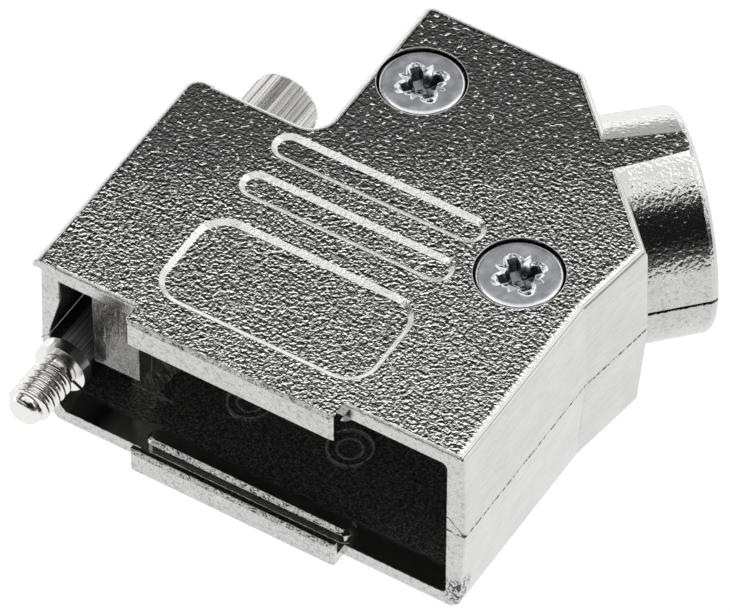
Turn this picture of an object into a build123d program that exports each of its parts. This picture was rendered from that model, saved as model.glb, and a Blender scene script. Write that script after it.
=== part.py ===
from build123d import *
import math
import os

# Angled d-sub hood: two zinc half shells, their screws, one captive jackscrew and the cable clamp.
# X runs along the mating edge, Y from the mating edge to the back, Z up from the flat underside. Units mm.

# Standard sizes of the nine-way connector the hood takes
JACK_PITCH = 24.99
FLANGE_THICK = 0.8

# Outer form of the closed hood
HEIGHT = 14.75
SPLIT_Z = HEIGHT / 2
LEFT = -14.95
RIGHT = 16.4
BACK_LEFT = 18.75
STEP_X = -5.95
BACK = 32.1
OUTLET_FACE = 26.95
BEND_Y = 14.6
SPLAY = 8.25
DRAFT_UPPER = 1.5
DRAFT_LOWER = 4.0
TOP_ROUND = 0.65
BASE_EDGE = 0.5
CORNER_BACK = 0.9
CORNER_HOLLOW = 1.3
CORNER_LEFT = 1.1
CORNER_OUTLET = 0.7
EDGE_LIP = 0.3
EDGE_LIP_THICK = 0.7
EDGE_LIP_SOFT = 0.5
FRONT_ROUND = 0.25
TOUCH = 0.001
BEYOND = 2 * BACK

# Walls and joints
WALL = 1.35
CEILING = 1.15
FLOOR = 1.15
INNER_ROUND = 0.45
SPLIT_GAP = 0.08
LAP_RISE = 1.2
FRONT_ROOM = 8.0
MERGE = 0.3

# Lips and ribs that trap the connector flange
TAB_HALF = 7.6
TAB_REACH = 1.4
LIP_DEPTH = 2.3
LIP_THICK = 0.55
TAB_LOW = 0.35
TAB_SOFT = 0.22
RIB_LENGTH = 15.4
RIB_WIDTH = 1.5
RIB_HEIGHT = 0.95
RIB_SOFT = 0.3
RIB_X = 0.25
FLANGE_PLAY = 0.1
RIB_Y = LIP_THICK - TAB_REACH + FLANGE_THICK + FLANGE_PLAY + RIB_WIDTH / 2
MARK_X = 3.75
MARK_Y = 6.9
MARK_R = 1.6
MARK_LINE = 0.2
MARK_RISE = 0.15

# Grip recesses in the top
GRIP_DEPTH = 0.18
GRIP_SLOPE = 65
GRIP_LENGTH = 14.8
GRIP_SLOT = 1.5
GRIP_SLOT_Y = (12.55, 16.4)
GRIP_PANEL = (15.0, 7.1)
GRIP_PANEL_Y = 5.45
GRIP_PANEL_R = 1.8

# Shell screws, M3 countersunk
SCREW_SPOTS = {"front_shell_screw": (11.25, 14.9), "rear_shell_screw": (-2.45, 25.65)}
SCREW_R = 1.5
SCREW_FIT = 0.05
SCREW_HEAD_R = 2.75
SCREW_HEAD_RIM = 0.3
SCREW_SINK = 0.12
SCREW_TIP_ROOM = 1.63
HEAD_HOLE_R = 2.95
BOSS_R = 3.3
CROSS_LENGTH = 2.8
CROSS_WIDTH = 0.8
CROSS_DEPTH = 1.1
CROSS_TURN = 51
PILOT_END = 2.0
SCREW_LENGTH = HEIGHT - SCREW_SINK - PILOT_END - SCREW_TIP_ROOM

# Cable outlet
OUTLET_OFFSET = -11.0
TUBE_ROOT_R = 7.5
TUBE_END_R = 7.42
TUBE_END = 32.0
TUBE_ROUND = 0.55
TUBE_ROUND_STEPS = (0, 30, 60, 90)
TUBE_GAP = 0.22
BORE_R = 5.75
BORE_START = 24.6

# Jackscrew and its split ring
JACK_X = -JACK_PITCH / 2
SHANK_R = 1.18
THREAD_R = 1.42
THREAD_TIP = -6.0
THREAD_START = -2.15
THREAD_RUNOUT = 0.15
TIP_ROUND = 0.55
RING_FRONT = -1.55
RING_THICK = 0.85
RING_R = 1.85
RING_GROOVE_R = 0.95
RING_FIT = 0.04
RING_SLIT = 0.34
RING_SLIT_TURN = 32
HEAD_R = 2.4
HEAD_GAP = 0.3
HEAD_END = 25.6
HEAD_EDGE = 0.4
HEAD_COLLAR = 0.6
HEAD_GROOVES = 9
HEAD_GROOVE_DEEP = 0.4
HEAD_GROOVE_TURN = 13
JACK_CLEAR = 0.35
CHANNEL_EDGE = 0.2
CHANNEL_WALL = 0.7
CHANNEL_SHOULDER = 4.2
CHANNEL_KNEE = 1.1
SEPTUM_LEFT = -11.0
SEPTUM_RIGHT = -9.35
SEPTUM_FRONT = 0.15
SEPTUM_PAD_RIGHT = -TAB_HALF
SEPTUM_PAD_DEPTH = 1.35
FOOT_FRONT = 4.2
FOOT_FLARE = 1.6
FOOT_BOW = 0.29

# Cable clamp inside the outlet
CLAMP_AT = 22.9
CLAMP_WIDTH = 2.8
CLAMP_THICK = 0.7
CLAMP_DROP = 2.175
CLAMP_EAR_Z = SPLIT_Z - CLAMP_DROP
CLAMP_PITCH = 11.2
CLAMP_EAR_EDGE = 1.6
CLAMP_EAR_HALF = CLAMP_PITCH / 2 + CLAMP_EAR_EDGE
CLAMP_POST_R = 1.6
CLAMP_SCREW_R = 1.0
CLAMP_HEAD_R = 1.6
CLAMP_HEAD_CLEAR = 0.2
CLAMP_INNER_R = CLAMP_PITCH / 2 - CLAMP_HEAD_R - CLAMP_HEAD_CLEAR - CLAMP_THICK
CLAMP_HEAD_TALL = 1.2
CLAMP_DRIVE = (0.55, 0.6)
CLAMP_GAP = 0.03
CLAMP_TIP_ROOM = 0.81
CLAMP_SEAT = CLAMP_EAR_Z + CLAMP_THICK + 2 * CLAMP_GAP
CLAMP_SCREW_LENGTH = CLAMP_SEAT - FLOOR - CLAMP_TIP_ROOM

SKEW = math.radians(SPLAY)
OUTLET_PLANE = Plane(origin=(0, 0, SPLIT_Z), x_dir=(1, -1, 0), z_dir=(1, 1, 0))


def diagonal(along, across, z):
    """Point placed along and across the cable outlet's 45 degree axis."""
    return ((along + across) / math.sqrt(2), (along - across) / math.sqrt(2), z)


def plan(inset, front):
    """Hood outline seen from above, moved inward by the inset and cut straight at the front."""
    outlet_sum = (OUTLET_FACE - inset) * math.sqrt(2)
    right = RIGHT - inset
    bend = BEND_Y - inset * math.tan(SKEW / 2)
    run = (outlet_sum - right - bend) / (math.sin(SKEW) + math.cos(SKEW))
    corner = (right + run * math.sin(SKEW), bend + run * math.cos(SKEW))
    back = BACK - inset
    points = [
        (LEFT + inset, front),
        (right, front),
        (right, bend),
        corner,
        (outlet_sum - back, back),
        (STEP_X + inset, back),
        (STEP_X + inset, BACK_LEFT - inset),
        (LEFT + inset, BACK_LEFT - inset),
    ]
    return make_face(Polyline(*points, close=True))


def soft_plan(front):
    """Outer outline with its upright corners rounded."""
    face = plan(0, front)
    corners = [
        (STEP_X, BACK, CORNER_BACK),
        (STEP_X, BACK_LEFT, CORNER_HOLLOW),
        (LEFT, BACK_LEFT, CORNER_LEFT),
        (OUTLET_FACE * math.sqrt(2) - BACK, BACK, CORNER_OUTLET),
    ]
    for x, y, radius in corners:
        corner = face.vertices().sort_by_distance((x, y, 0))[0]
        face = fillet(corner, radius)
    return face


def block(x0, x1, y0, y1, z0, z1):
    """Plain block between two corners."""
    size = Box(x1 - x0, y1 - y0, z1 - z0)
    return Pos((x0 + x1) / 2, (y0 + y1) / 2, (z0 + z1) / 2) * size


def run_back(points, y0, y1):
    """Section drawn in X and Z, run from y0 to y1."""
    face = make_face(Polyline(*[(x, y0, z) for x, z in points], close=True))
    return extrude(face, amount=y1 - y0, dir=(0, 1, 0))


def turned(points):
    """Solid turned about the Z axis from radius and height pairs."""
    face = make_face(Polyline(*[(r, 0, z) for r, z in points], close=True))
    return revolve(face, Axis.Z)


def upright(radius, x, y, z0, z1):
    """Upright round post."""
    return Pos(x, y, (z0 + z1) / 2) * Cylinder(radius, z1 - z0)


def cut_front(body):
    """Keeps what lies behind the mating edge."""
    return body & block(-BEYOND, BEYOND, 0, BEYOND, -BEYOND, BEYOND)


def lap(lift):
    """Sloped tongue on which the two shells meet, running round the wall."""
    tongue = Pos(0, 0, SPLIT_Z + lift) * extrude(plan(0, -FRONT_ROOM), amount=LAP_RISE, taper=45)
    return tongue & extrude(soft_plan(-FRONT_ROOM), amount=HEIGHT)


def front_outline(body, low, high):
    """Edges round the mating end that lie between two heights."""
    found = []
    for edge in body.edges():
        if abs(edge.bounding_box().max.Y) < TOUCH and low < edge.center().Z < high:
            found.append(edge)
    return found


def channel_space():
    """Room for the jackscrew along the left wall."""
    inner = LEFT + WALL + CHANNEL_EDGE
    relief = LEFT + CHANNEL_WALL
    base = relief + SPLIT_Z * math.tan(math.radians(DRAFT_LOWER))
    section = [
        (inner, HEIGHT - CEILING),
        (inner, SPLIT_Z + CHANNEL_SHOULDER),
        (relief, SPLIT_Z + CHANNEL_KNEE),
        (relief, SPLIT_Z),
        (base, FLOOR + INNER_ROUND),
        (base + INNER_ROUND, FLOOR),
        (SEPTUM_RIGHT + MERGE, FLOOR),
        (SEPTUM_RIGHT + MERGE, HEIGHT - CEILING),
    ]
    return run_back(section, -FRONT_ROOM, BACK_LEFT - WALL)


def bore():
    """Straight cable way through the outlet."""
    face = OUTLET_PLANE.offset(BORE_START) * Pos(OUTLET_OFFSET, 0) * Circle(BORE_R)
    return extrude(face, amount=TUBE_END - BORE_START + MERGE)


def tube(low, high):
    """Round outlet neck between two heights, flattened level with the top and the underside."""
    start = OUTLET_FACE - WALL
    section = [(0, start), (TUBE_ROOT_R, start)]
    for step in TUBE_ROUND_STEPS:
        turn = math.radians(step)
        radius = TUBE_END_R - TUBE_ROUND * (1 - math.cos(turn))
        section.append((radius, TUBE_END - TUBE_ROUND * (1 - math.sin(turn))))
    section.append((0, TUBE_END))
    neck = OUTLET_PLANE.location * Pos(OUTLET_OFFSET, 0, 0) * turned(section)
    return neck & block(-BEYOND, BEYOND, -BEYOND, BEYOND, low, high)


def floor_rib(z):
    """Long rounded rib that backs the connector flange."""
    face = Pos(RIB_X, RIB_Y, z) * SlotOverall(RIB_LENGTH, RIB_WIDTH)
    rib = extrude(face, amount=RIB_HEIGHT + MERGE)
    return chamfer(rib.edges().group_by(Axis.Z)[-1], RIB_SOFT)


def mark_ring(x):
    """Fine raised ring left on the floor by the mould."""
    face = Circle(MARK_R) - Circle(MARK_R - MARK_LINE)
    return Pos(x, MARK_Y, FLOOR - MERGE) * extrude(face, amount=MERGE + MARK_RISE)


def jack_hole():
    """Way for the jackscrew shank through the back wall."""
    post = Cylinder(SHANK_R + JACK_CLEAR, 4 * WALL)
    return Pos(JACK_X, BACK_LEFT - WALL / 2, SPLIT_Z) * Rot(90, 0, 0) * post


def connector_tab(low, high, step_low, step_high):
    """Lip that hooks over the connector flange, with the step that joins it to the shell."""
    tab = block(-TAB_HALF, TAB_HALF, -TAB_REACH, MERGE, step_low, step_high)
    tab += block(-TAB_HALF, TAB_HALF, -TAB_REACH, LIP_THICK - TAB_REACH, low, high)
    face = tab.faces().sort_by(Axis.Y)[0]
    return chamfer(face.edges(), TAB_SOFT)


def edge_lip():
    """Thin overhang of the top plate along the left wall."""
    back = BACK_LEFT - SPLIT_Z * math.tan(math.radians(DRAFT_UPPER))
    lip = block(LEFT - EDGE_LIP, LEFT + WALL, 0, back, HEIGHT - EDGE_LIP_THICK, HEIGHT)
    corner = lip.edges().filter_by(Axis.Z).sort_by_distance((LEFT, BACK_LEFT, HEIGHT))[0]
    lip = fillet(corner, CORNER_LEFT)
    outline = lip.edges().group_by(Axis.Z)[-1].sort_by(Axis.X)[:2]
    return fillet(outline, EDGE_LIP_SOFT)


def upper_shell():
    z0 = SPLIT_Z + SPLIT_GAP
    ceiling = HEIGHT - CEILING
    body = Pos(0, 0, z0) * extrude(soft_plan(-FRONT_ROOM), amount=HEIGHT - z0, taper=DRAFT_UPPER)
    body = cut_front(fillet(body.edges().group_by(Axis.Z)[-1], TOP_ROUND))
    body = fillet(front_outline(body, z0 + TOUCH, BEYOND), FRONT_ROUND)
    outer = body
    body += edge_lip()
    hollow = Pos(0, 0, z0 - MERGE) * extrude(plan(WALL, -FRONT_ROOM), amount=ceiling - z0 + MERGE)
    hollow = fillet(hollow.edges().group_by(Axis.Z)[-1], INNER_ROUND)
    body -= hollow - block(LEFT, SEPTUM_RIGHT, -FRONT_ROOM, BACK_LEFT - WALL, 0, HEIGHT)
    body -= channel_space()
    pad_back = SEPTUM_FRONT + SEPTUM_PAD_DEPTH
    body += block(SEPTUM_LEFT, SEPTUM_RIGHT, SEPTUM_FRONT, BACK_LEFT - WALL, z0, HEIGHT - MERGE)
    body += block(SEPTUM_LEFT, SEPTUM_PAD_RIGHT, SEPTUM_FRONT, pad_back, z0, HEIGHT - MERGE)
    body += connector_tab(HEIGHT - LIP_DEPTH, HEIGHT, ceiling, HEIGHT)
    body += mirror(floor_rib(FLOOR - MERGE), Plane.XY.offset(SPLIT_Z))
    body += tube(SPLIT_Z + TUBE_GAP, HEIGHT)
    for x, y in SCREW_SPOTS.values():
        body += upright(BOSS_R, x, y, z0, HEIGHT - MERGE) & outer
    wall_ring = Pos(0, 0, SPLIT_Z) * extrude(plan(WALL, -2 * FRONT_ROOM), amount=HEIGHT)
    body -= lap(SPLIT_GAP) - wall_ring
    body -= bore()
    body -= jack_hole()
    for x, y in SCREW_SPOTS.values():
        depth = HEAD_HOLE_R - SCREW_R - SCREW_FIT
        seat = HEIGHT - SCREW_SINK - SCREW_HEAD_RIM - SCREW_FIT
        body -= upright(HEAD_HOLE_R, x, y, seat, HEIGHT + MERGE)
        body -= Pos(x, y, seat - depth / 2) * Cone(SCREW_R + SCREW_FIT, HEAD_HOLE_R, depth)
        body -= upright(SCREW_R + SCREW_FIT, x, y, 0, HEIGHT)
    for y in GRIP_SLOT_Y:
        slot = Pos(0, y, HEIGHT - GRIP_DEPTH) * SlotOverall(GRIP_LENGTH, GRIP_SLOT)
        body -= extrude(slot, amount=GRIP_DEPTH, taper=-GRIP_SLOPE)
    panel = Pos(0, GRIP_PANEL_Y, HEIGHT - GRIP_DEPTH) * RectangleRounded(*GRIP_PANEL, GRIP_PANEL_R)
    body -= extrude(panel, amount=GRIP_DEPTH, taper=-GRIP_SLOPE)
    return body


def base_skirt():
    """What the sloped edge takes off round the underside."""
    inset = (SPLIT_Z - BASE_EDGE) * math.tan(math.radians(DRAFT_LOWER)) + BASE_EDGE
    tall = BASE_EDGE + MERGE
    wedge = extrude(plan(inset, -FRONT_ROOM), amount=tall, taper=-45)
    return block(-BEYOND, BEYOND, -FRONT_ROOM / 2, BEYOND, 0, tall) - wedge


def septum_foot():
    """Low wall in the lower shell under the septum, swept out at its base."""
    section = [
        (SEPTUM_LEFT, SPLIT_Z),
        (SEPTUM_RIGHT, SPLIT_Z),
        (SEPTUM_RIGHT, FLOOR + FOOT_FLARE),
        (SEPTUM_RIGHT + FOOT_FLARE * FOOT_BOW, FLOOR + FOOT_FLARE * FOOT_BOW),
        (SEPTUM_RIGHT + FOOT_FLARE, FLOOR),
        (SEPTUM_RIGHT + FOOT_FLARE, FLOOR - MERGE),
        (SEPTUM_LEFT, FLOOR - MERGE),
    ]
    return run_back(section, FOOT_FRONT, BACK_LEFT - WALL + MERGE)


def lower_shell():
    column = extrude(soft_plan(-FRONT_ROOM), amount=SPLIT_Z, taper=DRAFT_LOWER)
    body = cut_front(Pos(0, 0, SPLIT_Z) * Rot(0, 180, 0) * mirror(column, Plane.YZ))
    body -= base_skirt()
    body = fillet(front_outline(body, -BEYOND, SPLIT_Z - TOUCH), FRONT_ROUND)
    outer = body
    body += cut_front(lap(0))
    hollow = Pos(0, 0, FLOOR) * extrude(plan(WALL, -FRONT_ROOM), amount=HEIGHT)
    hollow = fillet(hollow.edges().group_by(Axis.Z)[0], INNER_ROUND)
    body -= hollow - block(LEFT, SEPTUM_RIGHT, -FRONT_ROOM, BACK_LEFT - WALL, 0, HEIGHT)
    body -= channel_space()
    body += septum_foot()
    body += connector_tab(TAB_LOW, LIP_DEPTH, TAB_LOW, FLOOR)
    body += floor_rib(FLOOR - MERGE)
    body += mark_ring(MARK_X)
    body += mark_ring(-MARK_X)
    body += tube(0, SPLIT_Z)
    for x, y in SCREW_SPOTS.values():
        body += upright(BOSS_R, x, y, FLOOR - MERGE, SPLIT_Z) & outer
    for side in (-1, 1):
        x, y, z = diagonal(CLAMP_AT, OUTLET_OFFSET + side * CLAMP_PITCH / 2, 0)
        body += upright(CLAMP_POST_R, x, y, FLOOR - MERGE, CLAMP_EAR_Z)
    body -= bore()
    body -= jack_hole()
    for x, y in SCREW_SPOTS.values():
        body -= upright(SCREW_R + SCREW_FIT, x, y, PILOT_END, HEIGHT)
    for side in (-1, 1):
        x, y, z = diagonal(CLAMP_AT, OUTLET_OFFSET + side * CLAMP_PITCH / 2, 0)
        body -= upright(CLAMP_SCREW_R + SCREW_FIT, x, y, FLOOR, HEIGHT)
    return body


def shell_screw(x, y):
    """Countersunk screw with a cross recess."""
    top = HEIGHT - SCREW_SINK
    neck = top - SCREW_HEAD_RIM - (SCREW_HEAD_R - SCREW_R)
    section = [
        (0, top),
        (SCREW_HEAD_R, top),
        (SCREW_HEAD_R, top - SCREW_HEAD_RIM),
        (SCREW_R, neck),
        (SCREW_R, top - SCREW_LENGTH),
        (0, top - SCREW_LENGTH),
    ]
    screw = Pos(x, y, 0) * turned(section)
    for turn in (0, 90):
        wing = Pos(x, y, top) * Rot(0, 0, turn + CROSS_TURN) * Box(CROSS_LENGTH, CROSS_WIDTH, 2 * CROSS_DEPTH)
        screw -= wing
    return screw


def jackscrew():
    """Turned jackscrew lying along Y: thread, ring groove, plain shank and grooved head."""
    head_start = BACK_LEFT + HEAD_GAP
    ring_back = RING_FRONT + RING_THICK
    section = [
        (0, THREAD_TIP),
        (THREAD_R - TIP_ROUND, THREAD_TIP),
        (THREAD_R, THREAD_TIP + TIP_ROUND),
        (THREAD_R, THREAD_START),
        (SHANK_R, THREAD_START + THREAD_RUNOUT),
        (SHANK_R, RING_FRONT - RING_FIT),
        (RING_GROOVE_R, RING_FRONT - RING_FIT),
        (RING_GROOVE_R, ring_back + RING_FIT),
        (SHANK_R, ring_back + RING_FIT),
        (SHANK_R, head_start),
        (HEAD_R, head_start),
        (HEAD_R, HEAD_END),
        (0, HEAD_END),
    ]
    screw = turned(section)
    rim = screw.edges().filter_by(GeomType.CIRCLE).sort_by(Axis.Z)[-1]
    screw = chamfer(rim, HEAD_EDGE)
    side = math.sqrt(2) * HEAD_GROOVE_DEEP
    for count in range(HEAD_GROOVES):
        groove = Box(side, side, HEAD_END - head_start)
        groove = Pos(HEAD_R, 0, (head_start + HEAD_END) / 2 + HEAD_COLLAR) * Rot(0, 0, 45) * groove
        screw -= Rot(0, 0, HEAD_GROOVE_TURN + count * 360 / HEAD_GROOVES) * groove
    return Pos(JACK_X, 0, SPLIT_Z) * Rot(-90, 0, 0) * screw


def retaining_ring():
    """Split ring snapped into the jackscrew's groove."""
    face = Circle(RING_R) - Circle(RING_GROOVE_R + RING_FIT)
    face -= Rot(0, 0, RING_SLIT_TURN) * Pos(RING_R, 0) * Rectangle(2 * RING_R, RING_SLIT)
    ring = extrude(face, amount=RING_THICK)
    return Pos(JACK_X, RING_FRONT, SPLIT_Z) * Rot(-90, 0, 0) * ring


def cable_clamp():
    """Bent strap that holds the cable down inside the outlet."""
    outer = CLAMP_INNER_R + CLAMP_THICK
    ear = CLAMP_EAR_Z + CLAMP_GAP - SPLIT_Z
    ear_band = Pos(0, ear + CLAMP_THICK / 2) * Rectangle(2 * CLAMP_EAR_HALF, CLAMP_THICK)
    arch = Circle(outer) & Pos(0, ear + outer) * Rectangle(4 * outer, 2 * outer)
    way = Circle(CLAMP_INNER_R) + Pos(0, -outer) * Rectangle(2 * CLAMP_INNER_R, 2 * outer)
    face = ear_band + arch - way
    at = OUTLET_PLANE.offset(CLAMP_AT - CLAMP_WIDTH / 2)
    across = Plane(origin=at.origin, x_dir=(1, -1, 0), z_dir=(-1, -1, 0))
    strap = extrude(across * Pos(OUTLET_OFFSET, 0) * face, amount=-CLAMP_WIDTH)
    for side in (-1, 1):
        x, y, z = diagonal(CLAMP_AT, OUTLET_OFFSET + side * CLAMP_PITCH / 2, 0)
        strap -= upright(CLAMP_SCREW_R + SCREW_FIT, x, y, 0, HEIGHT)
    return strap


def clamp_screw(side):
    """Small pan-head screw through one ear of the clamp."""
    x, y, z = diagonal(CLAMP_AT, OUTLET_OFFSET + side * CLAMP_PITCH / 2, 0)
    top = CLAMP_SEAT + CLAMP_HEAD_TALL
    section = [
        (0, top),
        (CLAMP_HEAD_R, top),
        (CLAMP_HEAD_R, CLAMP_SEAT),
        (CLAMP_SCREW_R, CLAMP_SEAT),
        (CLAMP_SCREW_R, CLAMP_SEAT - CLAMP_SCREW_LENGTH),
        (0, CLAMP_SEAT - CLAMP_SCREW_LENGTH),
    ]
    screw = Pos(x, y, 0) * turned(section)
    wide, deep = CLAMP_DRIVE
    return screw - Pos(x, y, top) * Box(3 * CLAMP_HEAD_R, wide, 2 * deep)


pieces = {
    "upper_shell": upper_shell(),
    "lower_shell": lower_shell(),
    "jackscrew": jackscrew(),
    "retaining_ring": retaining_ring(),
    "cable_clamp": cable_clamp(),
    "clamp_screw_inner": clamp_screw(-1),
    "clamp_screw_outer": clamp_screw(1),
}
for name, spot in SCREW_SPOTS.items():
    pieces[name] = shell_screw(*spot)

os.makedirs("parts", exist_ok=True)
for name, solid in pieces.items():
    export_step(solid, f"parts/{name}.step")
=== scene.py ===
import math

import bmesh
import bpy
import numpy as np
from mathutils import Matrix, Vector


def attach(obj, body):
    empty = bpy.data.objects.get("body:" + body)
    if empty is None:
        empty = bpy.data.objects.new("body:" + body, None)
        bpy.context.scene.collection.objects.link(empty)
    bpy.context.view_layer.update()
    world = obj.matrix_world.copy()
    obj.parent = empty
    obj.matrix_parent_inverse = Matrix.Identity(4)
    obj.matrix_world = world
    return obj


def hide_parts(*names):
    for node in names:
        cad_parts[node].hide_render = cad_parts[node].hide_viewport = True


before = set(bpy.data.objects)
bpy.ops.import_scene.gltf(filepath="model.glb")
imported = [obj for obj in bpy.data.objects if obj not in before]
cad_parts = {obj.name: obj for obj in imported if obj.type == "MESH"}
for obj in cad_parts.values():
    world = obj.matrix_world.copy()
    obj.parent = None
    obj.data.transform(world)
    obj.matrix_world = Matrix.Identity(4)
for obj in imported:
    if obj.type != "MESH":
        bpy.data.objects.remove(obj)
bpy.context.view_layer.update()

# Sizes of the hood in millimetres, as in the part's source
MM = 0.001
HEIGHT = 14.75
SPLIT_Z = HEIGHT / 2
CEILING = 1.15
FLOOR = 1.15
LEFT = -14.95
RIGHT = 16.4
BACK_LEFT = 18.75
STEP_X = -5.95
BACK = 32.1
OUTLET_FACE = 26.95
OUTLET_OFFSET = -11.0
DIAGONAL = math.sqrt(0.5)

# Where the hood's finishes change, each from the first value to the second
SKIN_DEPTH = 0.6
SKIN_FADE = 0.1
LOW_WALLS = (2.4, 2.8)
LOW_FRONT = (1.7, 2.2)
HIGH_FRONT = (0.08, 0.14)
FRONT_RIM = (0.3, 0.6)
TOP_ZONE = (HEIGHT - 1.0, HEIGHT - 0.6)
BORE_WIDE = 6.2
BORE_ZONE = (OUTLET_FACE - 2, OUTLET_FACE - 1)
SEAM_LIFT = 0.04
SEAM_LINE = (0.06, 0.15)
SMOOTH_ZONE = (11.0, 20.0)
GATE_AT = (15.9, 0.2, 1.7)
GATE_REACH = (0.8, 1.5)
MARK_X = 3.75
MARK_Y = 6.9
MARK_RADII = (1.5, 0.85)
MARK_LINE = (0.06, 0.12)

# Shell screws
SCREW_SPOTS = {"front_shell_screw": (11.25, 14.9), "rear_shell_screw": (-2.45, 25.65)}
SCREW_TOP = HEIGHT - 0.12
CLAMP_SCREW_TOP = 7.16
SCREW_HEAD_R = 2.75
SCREW_HEAD_RIM = 0.3
SCREW_FLAT_R = 2.2
SCREW_EDGE = 0.1
SCREW_SOFT = 0.32
SCREW_R = 1.5
SCREW_TIP = SCREW_TOP - 11.0
SCREW_POINTS = 240

# Drive in the head of a shell screw
DRIVE_TURN = math.radians(51)
DRIVE_REACH = 1.4
DRIVE_WIDE = 0.46
DRIVE_TAPER = 0.09
DRIVE_DEPTH = 1.2
DRIVE_RISE = 0.25
DRIVE_WALL = 0.07
DRIVE_END = 0.3
DRIVE_PAST_MIDDLE = 0.02
DRIVE_ROOM = 2.0
DRIVE_RINGS = 56
CORE_R = 1.0
CORE_WALL = 0.3
CORE_DEPTH = 0.8 * DRIVE_DEPTH
TICK_START = 0.7
TICK_REACH = 1.75
TICK_WIDE = 0.42
TICK_WALL = 0.05
TICK_SLOPE = math.tan(math.radians(12))
BURR = 0.08
BURR_R = 1.35
BURR_LOBE = 0.35
BURR_WIDE = 0.1
FLUSH = 0.02

# Jackscrew
JACK_X = -12.495
JACK_POINTS = 216
SHANK_R = 1.18
THREAD_R = 1.42
THREAD_ROOT_R = 1.14
THREAD_TIP = -6.0
THREAD_START = -2.15
THREAD_PITCH = 0.62
THREAD_ROOT_FLAT = 0.14
THREAD_FLANK = 0.66
THREAD_STEP = 0.035
THREAD_RUN_IN = 0.25
TIP_ROUND = 0.55
TIP_FLAT_R = 0.55
RING_FRONT = -1.59
RING_BACK = -0.66
RING_GROOVE_R = 0.95
HEAD_START = 19.05
HEAD_END = 25.6
HEAD_R = 2.4
HEAD_BREAK = 0.1
HEAD_ROUND = 0.45
HEAD_COLLAR = 0.6
GROOVES = 9
GROOVE_DEEP = 0.4
GROOVE_TURN = math.radians(13)

SHARP_ANGLE = math.radians(38)

# Colours of the finishes
NICKEL = (0.78, 0.775, 0.76, 1.0)
NICKEL_SHADE = (0.50, 0.50, 0.485, 1.0)
FRONT_SPECK = (0.30, 0.30, 0.29, 1.0)
# Dark colour painted over the inside faces as shade
INSIDE_SHADE_DARK = (0.34, 0.335, 0.325, 1.0)
# Near-white specks painted on the inside floor as highlight
FLOOR_HIGHLIGHT_SPECK = (0.95, 0.94, 0.92, 1.0)
# Dark of the real pits at the gate, seam and front rim; also used for the painted shade speckle inside
PIT_AND_SHADE_DARK = (0.08, 0.08, 0.08, 1.0)
ZINC_BLUE = (0.58, 0.595, 0.645, 1.0)
ZINC_PALE = (0.77, 0.78, 0.82, 1.0)
# Near white painted on the screw's sloped faces as highlight
ZINC_SLOPE_HIGHLIGHT = (0.97, 0.975, 0.98, 1.0)
DRIVE_SHADOW = (0.10, 0.105, 0.115, 1.0)
TURNED_BRIGHT = (0.84, 0.83, 0.805, 1.0)
TURNED_LINE = (0.44, 0.43, 0.41, 1.0)
# Dark tone painted on the shank as shade
SHANK_SHADE_DARK = (0.26, 0.26, 0.26, 1.0)
SHANK_PALE = (0.72, 0.71, 0.70, 1.0)
STRAP_DARK = (0.62, 0.63, 0.65, 1.0)
STRAP_PALE = (0.74, 0.74, 0.74, 1.0)

# Camera fitted to the photograph
CAMERA_AT = (0.16518, -0.25228, 0.36270)
CAMERA_LOOK = (-0.347, 0.561, -0.7515)
CAMERA_LENS = 367.6
CAMERA_SENSOR = 36.0
CAMERA_NEAR = 0.01

# Studio, with its level headings as seen from the object
FLOOR_DROP = 0.0001
FLOOR_HALF = 4.0
FLOOR_PAINT = (0.86, 0.86, 0.86, 1.0)
FLOOR_WHITE = (1.0, 1.0, 1.0, 1.0)
FLOOR_GLOW = 1.1
FLOOR_SHOWN = 0.9
TO_CAMERA = (0.53, -0.85)
FROM_CAMERA = (-0.53, 0.85)
TO_RIGHT = (0.64, 0.77)
TO_LEFT = (-0.42, -0.91)
TO_FAR_LEFT = (-0.95, 0.3)
SKY_STEEP = 31.0
SKY_MIDDLE = 0.725
SKY_LEVEL = 0.057
SKY_MOST = 1.6


class Tone:
    """A value on a finish's node sheet, so that shading reads as plain arithmetic."""

    def __init__(self, sheet, socket):
        self.sheet = sheet
        self.socket = socket

    def math(self, operation, other=0.0, swap=False):
        first, second = (other, self) if swap else (self, other)
        return self.sheet.node("ShaderNodeMath", {"operation": operation}, {0: first, 1: second})

    def __add__(self, other):
        return self.math("ADD", other)

    def __radd__(self, other):
        return self.math("ADD", other, swap=True)

    def __sub__(self, other):
        return self.math("SUBTRACT", other)

    def __rsub__(self, other):
        return self.math("SUBTRACT", other, swap=True)

    def __mul__(self, other):
        return self.math("MULTIPLY", other)

    def __rmul__(self, other):
        return self.math("MULTIPLY", other, swap=True)

    def clear(self):
        """Held between 0 and 1."""
        return self.math("MINIMUM", 1.0).math("MAXIMUM", 0.0)

    def above(self, low, high):
        """Soft step: 0 under low, 1 over high."""
        limits = {"Value": self, "From Min": low, "From Max": high}
        return self.sheet.node("ShaderNodeMapRange", {"interpolation_type": "SMOOTHSTEP"}, limits)

    def below(self, low, high):
        """Soft step: 1 under low, 0 over high."""
        return 1.0 - self.above(low, high)

    def beside(self, name):
        """Another output of the same node."""
        return Tone(self.sheet, self.socket.node.outputs[name])


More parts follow.
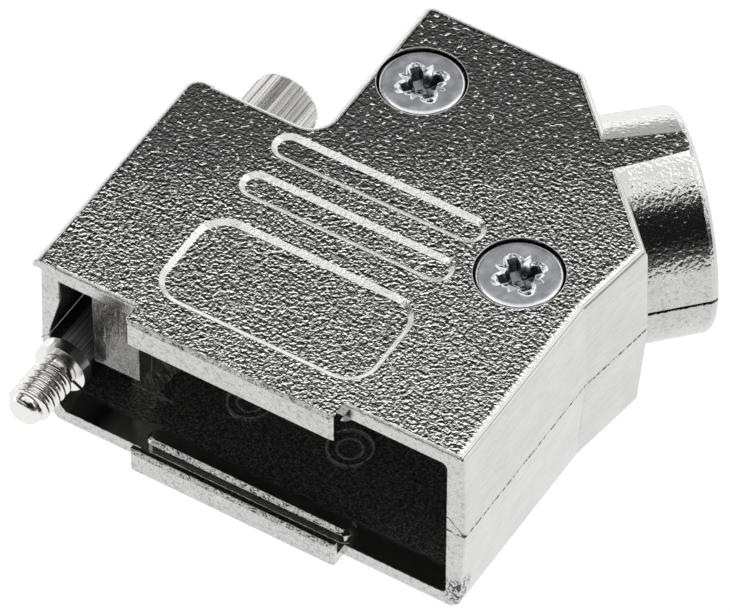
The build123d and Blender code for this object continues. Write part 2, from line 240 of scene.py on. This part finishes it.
class Sheet:
    """Node sheet of one finish."""

    def __init__(self, tree):
        self.tree = tree
        tree.nodes.clear()

    def node(self, kind, settings=None, inputs=None, out=0):
        """Adds a node, with its settings first, and gives one of its outputs."""
        made = self.tree.nodes.new(kind)
        for name, value in (settings or {}).items():
            setattr(made, name, value)
        for name, value in (inputs or {}).items():
            if isinstance(value, Tone):
                self.tree.links.new(value.socket, made.inputs[name])
            else:
                made.inputs[name].default_value = value
        return Tone(self, made.outputs[out] if len(made.outputs) else None)

    def place(self):
        """Object-space place in millimetres."""
        at = self.node("ShaderNodeTexCoord", out="Object")
        return self.node("ShaderNodeVectorMath", {"operation": "SCALE"}, {0: at, "Scale": 1 / MM})

    def facing(self):
        """Object-space facing of the surface."""
        return self.node("ShaderNodeTexCoord", out="Normal")

    def true_facing(self):
        """Facing of the bare surface in the world."""
        return self.node("ShaderNodeNewGeometry", out="True Normal")

    def parts(self, vector):
        """The three parts of a vector."""
        split = self.node("ShaderNodeSeparateXYZ", inputs={0: vector})
        return split, split.beside("Y"), split.beside("Z")

    def grain(self, at, scale, detail=2.0, rough=0.5, warp=0.0):
        """Cloudy noise with that many grains per millimetre."""
        sizes = {"Vector": at, "Scale": scale, "Detail": detail, "Roughness": rough, "Distortion": warp}
        return self.node("ShaderNodeTexNoise", inputs=sizes)

    def stretch(self, at, factors):
        return self.node("ShaderNodeVectorMath", {"operation": "MULTIPLY"}, {0: at, 1: factors})

    def mix(self, amount, first, second):
        """Mix of two colours."""
        inputs = {0: amount, 6: first, 7: second}
        return self.node("ShaderNodeMix", {"data_type": "RGBA"}, inputs, 2)

    def along(self, first, second):
        """How far two facings agree, 1 where they are the same."""
        return self.node("ShaderNodeVectorMath", {"operation": "DOT_PRODUCT"}, {0: first, 1: second}, "Value")

    def reach(self, at, spot):
        """Distance from a spot."""
        return self.node("ShaderNodeVectorMath", {"operation": "DISTANCE"}, {0: at, 1: spot}, "Value")

    def soft_edges(self, radius):
        """Surface facing with the sharp edges eased by the plating."""
        return self.node("ShaderNodeBevel", {"samples": 6}, {"Radius": radius * MM})

    def bump(self, height, depth, under):
        """Relief of that depth in millimetres on the facing given."""
        inputs = {"Strength": 1.0, "Distance": depth * MM, "Height": height, "Normal": under}
        return self.node("ShaderNodeBump", inputs=inputs)

    def metal(self, color, roughness, normal, metallic=1.0):
        """Finishes the sheet as a metal surface."""
        inputs = {"Base Color": color, "Metallic": metallic, "Roughness": roughness, "Normal": normal}
        skin = self.node("ShaderNodeBsdfPrincipled", inputs=inputs)
        self.node("ShaderNodeOutputMaterial", inputs={"Surface": skin})


def new_finish(name):
    material = bpy.data.materials.new(name)
    material.use_nodes = True
    return material, Sheet(material.node_tree)


def toward(x, y, heading):
    """How far a place or a direction lies along a level heading."""
    return x * heading[0] + y * heading[1]


def along_outlet(x, y):
    """Distance along the axis of the cable outlet."""
    return (x + y) * DIAGONAL


def hood_inside(x, y, z):
    """1 on the cast faces inside the hood and inside the outlet's bore, 0 on its outer skin."""
    along = along_outlet(x, y)
    across = (x - y) * DIAGONAL - OUTLET_OFFSET
    lift = z - SPLIT_Z
    low = z.below(*LOW_WALLS)
    room = low * y.above(*LOW_FRONT) + (1.0 - low) * y.above(*HIGH_FRONT)
    room = room * x.above(LEFT + SKIN_DEPTH, LEFT + SKIN_DEPTH + SKIN_FADE)
    for way, end in ((x, RIGHT), (y, BACK), (along, OUTLET_FACE)):
        room = room * way.below(end - SKIN_DEPTH, end - SKIN_DEPTH + SKIN_FADE)
    notch = x.below(STEP_X + SKIN_DEPTH, STEP_X + SKIN_DEPTH + SKIN_FADE)
    room = room * (1.0 - notch * y.above(BACK_LEFT - SKIN_DEPTH - SKIN_FADE, BACK_LEFT - SKIN_DEPTH))
    room = room * z.above(FLOOR - 0.3, FLOOR - 0.15)
    room = room * z.below(HEIGHT - CEILING + 0.3, HEIGHT - CEILING + 0.5)
    reach = (across * across + lift * lift).math("SQRT")
    bore = reach.below(BORE_WIDE, BORE_WIDE + SKIN_FADE) * along.above(*BORE_ZONE)
    return (room + bore).clear()


def mould_rings(x, y, z):
    """1 on the fine rings that the mould leaves on the floor."""
    off = x.math("ABSOLUTE") - MARK_X
    back = y - MARK_Y
    reach = (off * off + back * back).math("SQRT")
    rings = 0.0
    for radius in MARK_RADII:
        rings = rings + (reach - radius).math("ABSOLUTE").below(*MARK_LINE)
    return rings * z.below(1.4, 1.6) * z.above(1.0, 1.1)


def plated_shell():
    """Nickel over die-cast zinc: a pebbled top and smooth walls, with painted shade on the walls and over the
    inside and a painted highlight on the inside floor.
    """
    material, sheet = new_finish("plated_shell")
    at = sheet.place()
    x, y, z = sheet.parts(at)
    _, toward_back, up = sheet.parts(sheet.facing())
    soft = sheet.soft_edges(0.09)

    # Where each part of the shell is
    high = z.above(*TOP_ZONE)
    top = up.above(0.93, 0.985) * high
    grip = up.above(0.84, 0.88) * up.below(0.94, 0.97) * high
    wall = 1.0 - top
    steep = up.below(0.6, 0.85)
    front = (0.0 - toward_back).above(0.50, 0.68)
    inside = hood_inside(x, y, z)
    floor = inside * up.above(0.8, 0.95)
    mark = mould_rings(x, y, z)
    neck = along_outlet(x, y).above(OUTLET_FACE, OUTLET_FACE + 0.3)
    edge = (1.0 - sheet.along(soft, sheet.true_facing())).above(0.01, 0.12)
    rim = edge * y.below(*FRONT_RIM)
    front_edge = front * up.above(0.2, 0.4) * 0.4 + rim
    foot = sheet.reach(at, GATE_AT).below(*GATE_REACH)
    seam = (z - SPLIT_Z - SEAM_LIFT).math("ABSOLUTE").below(*SEAM_LINE) * (1.0 - inside)
    smooth = toward(x, y, FROM_CAMERA).above(*SMOOTH_ZONE)

    # Grains of the cast and the plating
    pebble = sheet.grain(at, 4.0, 1.0, 0.5, 0.4)
    peak = sheet.grain(at, 3.2, 0.0, 0.5, 0.2).above(0.66, 0.86)
    fine = sheet.grain(at, 11.0, 1.0)
    speck = sheet.grain(at, 6.0, 1.0)
    broad = sheet.grain(at, 0.5, 1.0)
    nick = sheet.grain(at, 3.0, 1.0)
    ripple = sheet.grain(sheet.stretch(at, (3.0, 3.0, 0.9)), 1.0, 1.0, 0.5, 0.5)
    hatch = sheet.grain(sheet.stretch(at, (0.6, 0.6, 5.0)), 1.0, 1.0, 0.4, 1.5)

    pebbling = top * (3.0 - smooth * 1.9) + neck * wall * 3.0 + grip * 1.6
    pebbling = pebbling + inside * 1.5 + foot * 6.0 + 0.05
    graining = 0.02 + grip * 0.9 + front * 0.15
    nicking = edge * 0.3 + front_edge * 12.0
    relief = pebble * pebbling + fine * graining + nick * nicking
    relief = relief + peak * top * 1.2 + ripple * inside * 4.0 + mark * inside * 5.0

    # Steep faces take the darker NICKEL_SHADE in vertical streaks: the streaks are grain in the plating, and
    # the darker tone kept to the walls is painted shade.
    streaked_wall_shade = (hatch * 0.6 + broad * 0.4) * steep
    freckled = front * (fine.above(0.45, 0.62) * 0.35 + nick.above(0.52, 0.66) * 0.35)
    pitted = foot * pebble.above(0.48, 0.54) + (seam + rim) * nick.above(0.44, 0.56)
    # Dark speckle on the inside faces: more painted shade, broken up by noise
    inside_shade_speckle = inside * (fine.above(0.42, 0.62) * 0.6 + ripple.above(0.4, 0.7) * 0.3)
    color = sheet.mix(streaked_wall_shade, NICKEL, NICKEL_SHADE)
    color = sheet.mix(freckled, color, FRONT_SPECK)
    color = sheet.mix(pitted.clear(), color, PIT_AND_SHADE_DARK)
    # The inside faces take a dark colour: painted shade for the shade inside the hood; the mould rings are
    # left out of it.
    color = sheet.mix(inside * (1.0 - mark), color, INSIDE_SHADE_DARK)
    # Pale specks on the inside floor: painted highlight for light caught on its bumps.
    color = sheet.mix(floor * (1.0 - mark) * speck.above(0.42, 0.62), color, FLOOR_HIGHLIGHT_SPECK)
    color = sheet.mix(inside_shade_speckle, color, PIT_AND_SHADE_DARK)

    roughness = 0.015 + fine * 0.02 + wall * 0.13 + inside * 0.05
    metallic = 1.0 - inside * (0.3 + mark * 0.7)
    sheet.metal(color, roughness, sheet.bump(relief, 0.012, soft), metallic)
    return material


def zinc_screw(name, drive_top):
    """Blue zinc plate with light tool marks, a painted highlight on every sloped face and painted shadow down
    in the drive.
    """
    material, sheet = new_finish(name)
    at = sheet.place()
    _, _, z = sheet.parts(at)
    _, _, up = sheet.parts(sheet.facing())
    flat = up.above(0.97, 0.995)
    deep = z.below(drive_top - 0.55, drive_top - 0.2) * z.above(drive_top - 1.3, drive_top - 1.25)
    cloud = sheet.grain(at, 1.1, 2.0, 0.6)
    scratch = sheet.grain(sheet.stretch(at, (9.0, 1.4, 4.0)), 1.0, 2.0, 0.6, 0.8)
    color = sheet.mix(cloud.above(0.35, 0.7), ZINC_BLUE, ZINC_PALE)
    # Every face that is not flat is painted near white: painted highlight on the drive walls, burrs and head
    # edge.
    color = sheet.mix(1.0 - flat, color, ZINC_SLOPE_HIGHLIGHT)
    color = sheet.mix(deep * 0.85, color, DRIVE_SHADOW)
    roughness = 0.10 + flat * 0.14 + cloud * 0.12
    sheet.metal(color, roughness, sheet.bump(scratch, 0.010, sheet.soft_edges(0.06)))
    return material


def nickel_turned():
    """Nickel on turned steel: bright thread, a dull streaked shank whose dark tone is painted shade, and a
    fine-lined head.
    """
    material, sheet = new_finish("nickel_turned")
    at = sheet.place()
    _, y, _ = sheet.parts(at)
    _, toward_back, _ = sheet.parts(sheet.facing())
    before_head = HEAD_START - 0.3
    head = y.above(before_head, HEAD_START)
    shank = y.above(RING_BACK + 0.1, RING_BACK + 0.3) * y.below(before_head, HEAD_START)
    lines = sheet.grain(sheet.stretch(at, (12.0, 0.1, 12.0)), 1.0, 2.0, 0.6)
    lines = lines * toward_back.below(0.5, 0.9)
    fine = sheet.grain(at, 6.0, 1.0)
    color = sheet.mix(lines.above(0.42, 0.6) * head, TURNED_BRIGHT, TURNED_LINE)
    # The shank mixes a dark and a pale nickel along its turning lines; the dark tone is painted shade from
    # the channel around the shank.
    shank_streaks_and_shade = sheet.mix(lines.above(0.4, 0.62), SHANK_SHADE_DARK, SHANK_PALE)
    color = sheet.mix(shank, color, shank_streaks_and_shade)
    roughness = 0.14 + fine * 0.06 + head * 0.08 + shank * 0.2
    relief = lines * (head * 1.5 + shank) + fine * 0.25
    normal = sheet.bump(relief, 0.02, sheet.soft_edges(0.05))
    sheet.metal(color, roughness, normal, 1.0 - shank * 0.5)
    return material


def rolled_strap():
    """Zinc-plated strap steel with the rolling lines along it."""
    material, sheet = new_finish("rolled_strap")
    at = sheet.place()
    lines = sheet.grain(sheet.stretch(at, (2.0, 2.0, 9.0)), 1.0, 2.0, 0.6)
    color = sheet.mix(lines, STRAP_DARK, STRAP_PALE)
    normal = sheet.bump(lines, 0.006, sheet.soft_edges(0.06))
    sheet.metal(color, 0.25 + lines * 0.12, normal)
    return material


def skin(name, rings):
    """Closed mesh through rings of points in millimetres, each ring of the same count."""
    count = len(rings[0])
    points = [ring.mean(axis=0, keepdims=True) for ring in (rings[0], rings[-1])]
    points = np.concatenate(list(rings) + points) * MM
    step = np.arange(count)
    after = (step + 1) % count
    faces = []
    for ring in range(len(rings) - 1):
        near, far = ring * count, (ring + 1) * count
        faces += np.stack([near + step, near + after, far + after, far + step], 1).tolist()
    last = (len(rings) - 1) * count
    start, end = len(rings) * count, len(rings) * count + 1
    faces += [(start, int(b), int(a)) for a, b in zip(step, after)]
    faces += [(end, int(last + a), int(last + b)) for a, b in zip(step, after)]
    mesh = bpy.data.meshes.new(name)
    mesh.from_pydata(points.tolist(), [], faces)
    work = bmesh.new()
    work.from_mesh(mesh)
    bmesh.ops.recalc_face_normals(work, faces=work.faces)
    for face in work.faces:
        face.smooth = True
    work.to_mesh(mesh)
    work.free()
    mesh.set_sharp_from_angle(angle=SHARP_ANGLE)
    piece = bpy.data.objects.new(name, mesh)
    bpy.context.scene.collection.objects.link(piece)
    return piece


def dressed(piece, material, body, node):
    """Puts the finish on a new piece and lets it stand for its CAD node."""
    piece.data.materials.append(material)
    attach(piece, body)
    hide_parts(node)


def drive_depth(radius, angle):
    """Depth of the drive at a place on the screw head: cross recess, tick marks, core and raised burr."""
    depth = np.zeros_like(angle)
    for turn in range(4):
        bearing = angle - DRIVE_TURN - turn * math.pi / 2
        along, off = radius * np.cos(bearing), np.abs(radius * np.sin(bearing))
        wide = DRIVE_WIDE - DRIVE_TAPER * np.clip(along, 0, None)
        wall = np.clip((wide - off) / DRIVE_WALL, 0, 1) * (along > -DRIVE_PAST_MIDDLE)
        end = np.clip((DRIVE_REACH - along) / DRIVE_END, 0, 1)
        wing = DRIVE_DEPTH * wall * np.sqrt(end) * (1 - DRIVE_RISE * along / DRIVE_REACH)
        bearing = bearing - math.pi / 4
        along, off = radius * np.cos(bearing), np.abs(radius * np.sin(bearing))
        wide = TICK_WIDE * np.clip((TICK_REACH - along) / (TICK_REACH - TICK_START), 0.01, 1)
        wall = np.clip((wide - off) / TICK_WALL, 0, 1) * (along > TICK_START)
        tick = TICK_SLOPE * (TICK_REACH - along) * wall
        depth = np.maximum(depth, np.maximum(wing, tick))
    core = CORE_DEPTH * np.clip((CORE_R - radius) / CORE_WALL, 0, 1)
    depth = np.maximum(depth, core)
    crest = BURR_R + BURR_LOBE * np.cos(4 * (angle - DRIVE_TURN))
    ragged = 1.2 + np.sin(7 * angle) + 0.6 * np.sin(17 * angle)
    burr = BURR * ragged * np.exp(-((radius - crest) / BURR_WIDE) ** 2)
    return np.where(depth < FLUSH, depth - burr, depth)


def shell_screw(name, x, y, material):
    """Countersunk screw with a cross recess and tick marks between its wings."""
    angle = np.linspace(0, 2 * math.pi, SCREW_POINTS, endpoint=False)
    rings = []

    def ring(radius, z):
        points = [x + radius * np.cos(angle), y + radius * np.sin(angle), z + np.zeros_like(angle)]
        rings.append(np.stack(points, 1))

    for radius in np.linspace(0.03, DRIVE_ROOM, DRIVE_RINGS):
        ring(radius, SCREW_TOP - drive_depth(radius, angle))
    ring(SCREW_FLAT_R, SCREW_TOP)
    for share in np.linspace(0.0, 1.0, 9):
        drop = 1 - math.sqrt(1 - share * share)
        ring(SCREW_HEAD_R - SCREW_SOFT * (1 - share), SCREW_TOP - SCREW_EDGE * drop)
    ring(SCREW_HEAD_R, SCREW_TOP - SCREW_HEAD_RIM)
    ring(SCREW_R, SCREW_TOP - SCREW_HEAD_RIM - (SCREW_HEAD_R - SCREW_R))
    ring(SCREW_R, SCREW_TIP)
    piece = skin(name + "_dressed", rings)
    dressed(piece, material, "hood", name)


def thread_radius(y, angle):
    """Radius of the screw thread with its crest and root eased."""
    wave = np.abs(2 * np.mod(y / THREAD_PITCH - angle / (2 * math.pi), 1.0) - 1)
    ridge = np.clip((wave - THREAD_ROOT_FLAT) / THREAD_FLANK, 0, 1)
    ridge = ridge * ridge * (3 - 2 * ridge)
    return THREAD_ROOT_R + (THREAD_R - THREAD_ROOT_R) * ridge


def groove_radius(angle):
    """Radius of the head where its grooves run."""
    pitch = 2 * math.pi / GROOVES
    off = np.mod(angle - GROOVE_TURN + pitch / 2, pitch) - pitch / 2
    groove = (HEAD_R - GROOVE_DEEP) / (np.cos(off) - np.abs(np.sin(off)))
    return np.minimum(groove, HEAD_R)


def jackscrew(material):
    """Turned jackscrew: domed tip, thread, ring groove, shank and grooved head."""
    angle = np.linspace(0, 2 * math.pi, JACK_POINTS, endpoint=False)
    rings = []

    def ring(y, radius):
        radius = radius + np.zeros_like(angle)
        points = [JACK_X + radius * np.cos(angle), y + 0 * angle, SPLIT_Z - radius * np.sin(angle)]
        rings.append(np.stack(points, 1))

    dome_end = THREAD_TIP + TIP_ROUND
    for share in np.linspace(0.0, 1.0, 9):
        turn = share * math.pi / 2
        radius = TIP_FLAT_R + (THREAD_ROOT_R - TIP_FLAT_R) * math.sin(turn)
        ring(dome_end - TIP_ROUND * math.cos(turn), radius)
    for y in np.arange(dome_end + 0.03, THREAD_START, THREAD_STEP):
        run_in = min(1.0, (y - dome_end) / THREAD_RUN_IN)
        ring(y, THREAD_ROOT_R + (thread_radius(y, angle) - THREAD_ROOT_R) * run_in)
    for y, radius in (
        (THREAD_START + 0.02, THREAD_ROOT_R),
        (THREAD_START + 0.15, SHANK_R),
        (RING_FRONT, SHANK_R),
        (RING_FRONT, RING_GROOVE_R),
        (RING_BACK, RING_GROOVE_R),
        (RING_BACK, SHANK_R),
        (HEAD_START, SHANK_R),
        (HEAD_START, HEAD_R - HEAD_BREAK),
        (HEAD_START + HEAD_BREAK, HEAD_R),
        (HEAD_START + HEAD_COLLAR, HEAD_R),
    ):
        ring(y, radius)
    ring(HEAD_START + HEAD_COLLAR + 0.02, groove_radius(angle))
    ring(HEAD_END - HEAD_ROUND, groove_radius(angle))
    for share in np.linspace(0.125, 1.0, 8):
        turn = share * math.pi / 2
        edge = HEAD_R - HEAD_ROUND * (1 - math.cos(turn))
        ring(HEAD_END - HEAD_ROUND * (1 - math.sin(turn)), np.minimum(groove_radius(angle), edge))
    piece = skin("jackscrew_dressed", rings)
    dressed(piece, material, "screw", "jackscrew")


def studio_world():
    """Sky that the metal mirrors: pale horizon, dark band, bright overhead. Plain white to the camera."""
    world = bpy.data.worlds.new("studio")
    bpy.context.scene.world = world
    world.use_nodes = True
    sheet = Sheet(world.node_tree)
    x, y, z = sheet.parts(sheet.node("ShaderNodeTexCoord", out="Generated"))
    front = toward(x, y, TO_CAMERA).above(-0.1, 0.3)
    glow = (SKY_STEEP * (z - SKY_MIDDLE)).math("EXPONENT") * SKY_LEVEL
    behind = glow.math("MINIMUM", SKY_MOST) - 0.75 * z.above(0.88, 0.93)
    behind = behind + 0.5 * z.below(0.48, 0.59) + 0.9 * z.below(0.12, 0.32)
    before = 0.010 + 0.10 * z.below(0.20, 0.45) + 1.0 * z.below(0.02, 0.10) + 1.1 * z.above(0.90, 0.96)
    right = toward(x, y, TO_RIGHT).above(0.48, 0.60)
    left = toward(x, y, TO_LEFT).above(0.70, 0.84)
    far_left = toward(x, y, TO_FAR_LEFT).above(0.75, 0.85)
    sides = (0.9 * right + 0.9 * left + 0.7 * far_left) * z.above(0.35, 0.5)
    light = behind * (1.0 - front) + before * front + sides
    seen = sheet.node("ShaderNodeLightPath", out="Is Camera Ray")
    light = light * (1.0 - seen) + seen
    back = sheet.node("ShaderNodeBackground", inputs={"Color": light, "Strength": 1.0})
    sheet.node("ShaderNodeOutputWorld", inputs={"Surface": back})


def studio_floor():
    """Plain pale floor that keeps a faint shadow."""
    mesh = bpy.data.meshes.new("studio_floor")
    half = FLOOR_HALF
    corners = [(-half, -half), (half, -half), (half, half), (-half, half)]
    mesh.from_pydata([(x, y, -FLOOR_DROP) for x, y in corners], [], [(0, 1, 2, 3)])
    floor = bpy.data.objects.new("studio_floor", mesh)
    bpy.context.scene.collection.objects.link(floor)
    material, sheet = new_finish("pale_floor")
    path = sheet.node("ShaderNodeLightPath", out="Is Camera Ray")
    shown = (path + path.beside("Is Glossy Ray") + path.beside("Is Transmission Ray")).clear()
    paint = sheet.node("ShaderNodeBsdfDiffuse", inputs={"Color": FLOOR_PAINT})
    glow = sheet.node("ShaderNodeEmission", inputs={"Color": FLOOR_WHITE, "Strength": FLOOR_GLOW})
    blend = sheet.node("ShaderNodeMixShader", inputs={0: shown * FLOOR_SHOWN, 1: paint, 2: glow})
    sheet.node("ShaderNodeOutputMaterial", inputs={"Surface": blend})
    mesh.materials.append(material)


def photo_camera():
    data = bpy.data.cameras.new("photo_camera")
    data.lens = CAMERA_LENS
    data.sensor_width = CAMERA_SENSOR
    data.clip_start = CAMERA_NEAR
    camera = bpy.data.objects.new("photo_camera", data)
    camera.location = CAMERA_AT
    camera.rotation_mode = "QUATERNION"
    camera.rotation_quaternion = Vector(CAMERA_LOOK).to_track_quat("-Z", "Y")
    bpy.context.scene.collection.objects.link(camera)
    bpy.context.scene.camera = camera


shell_finish = plated_shell()
screw_finish = zinc_screw("zinc_shell_screw", SCREW_TOP)
clamp_screw_finish = zinc_screw("zinc_clamp_screw", CLAMP_SCREW_TOP)
turned_finish = nickel_turned()
strap_finish = rolled_strap()
node_finish = {
    "upper_shell": shell_finish,
    "lower_shell": shell_finish,
    "retaining_ring": turned_finish,
    "cable_clamp": strap_finish,
    "clamp_screw_inner": clamp_screw_finish,
    "clamp_screw_outer": clamp_screw_finish,
}
for node_name, finish in node_finish.items():
    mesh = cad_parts[node_name].data
    mesh.materials.clear()
    mesh.materials.append(finish)

for screw_name, (spot_x, spot_y) in SCREW_SPOTS.items():
    shell_screw(screw_name, spot_x, spot_y, screw_finish)
jackscrew(turned_finish)

studio_world()
studio_floor()
photo_camera()
bpy.context.scene.view_settings.view_transform = "Standard"
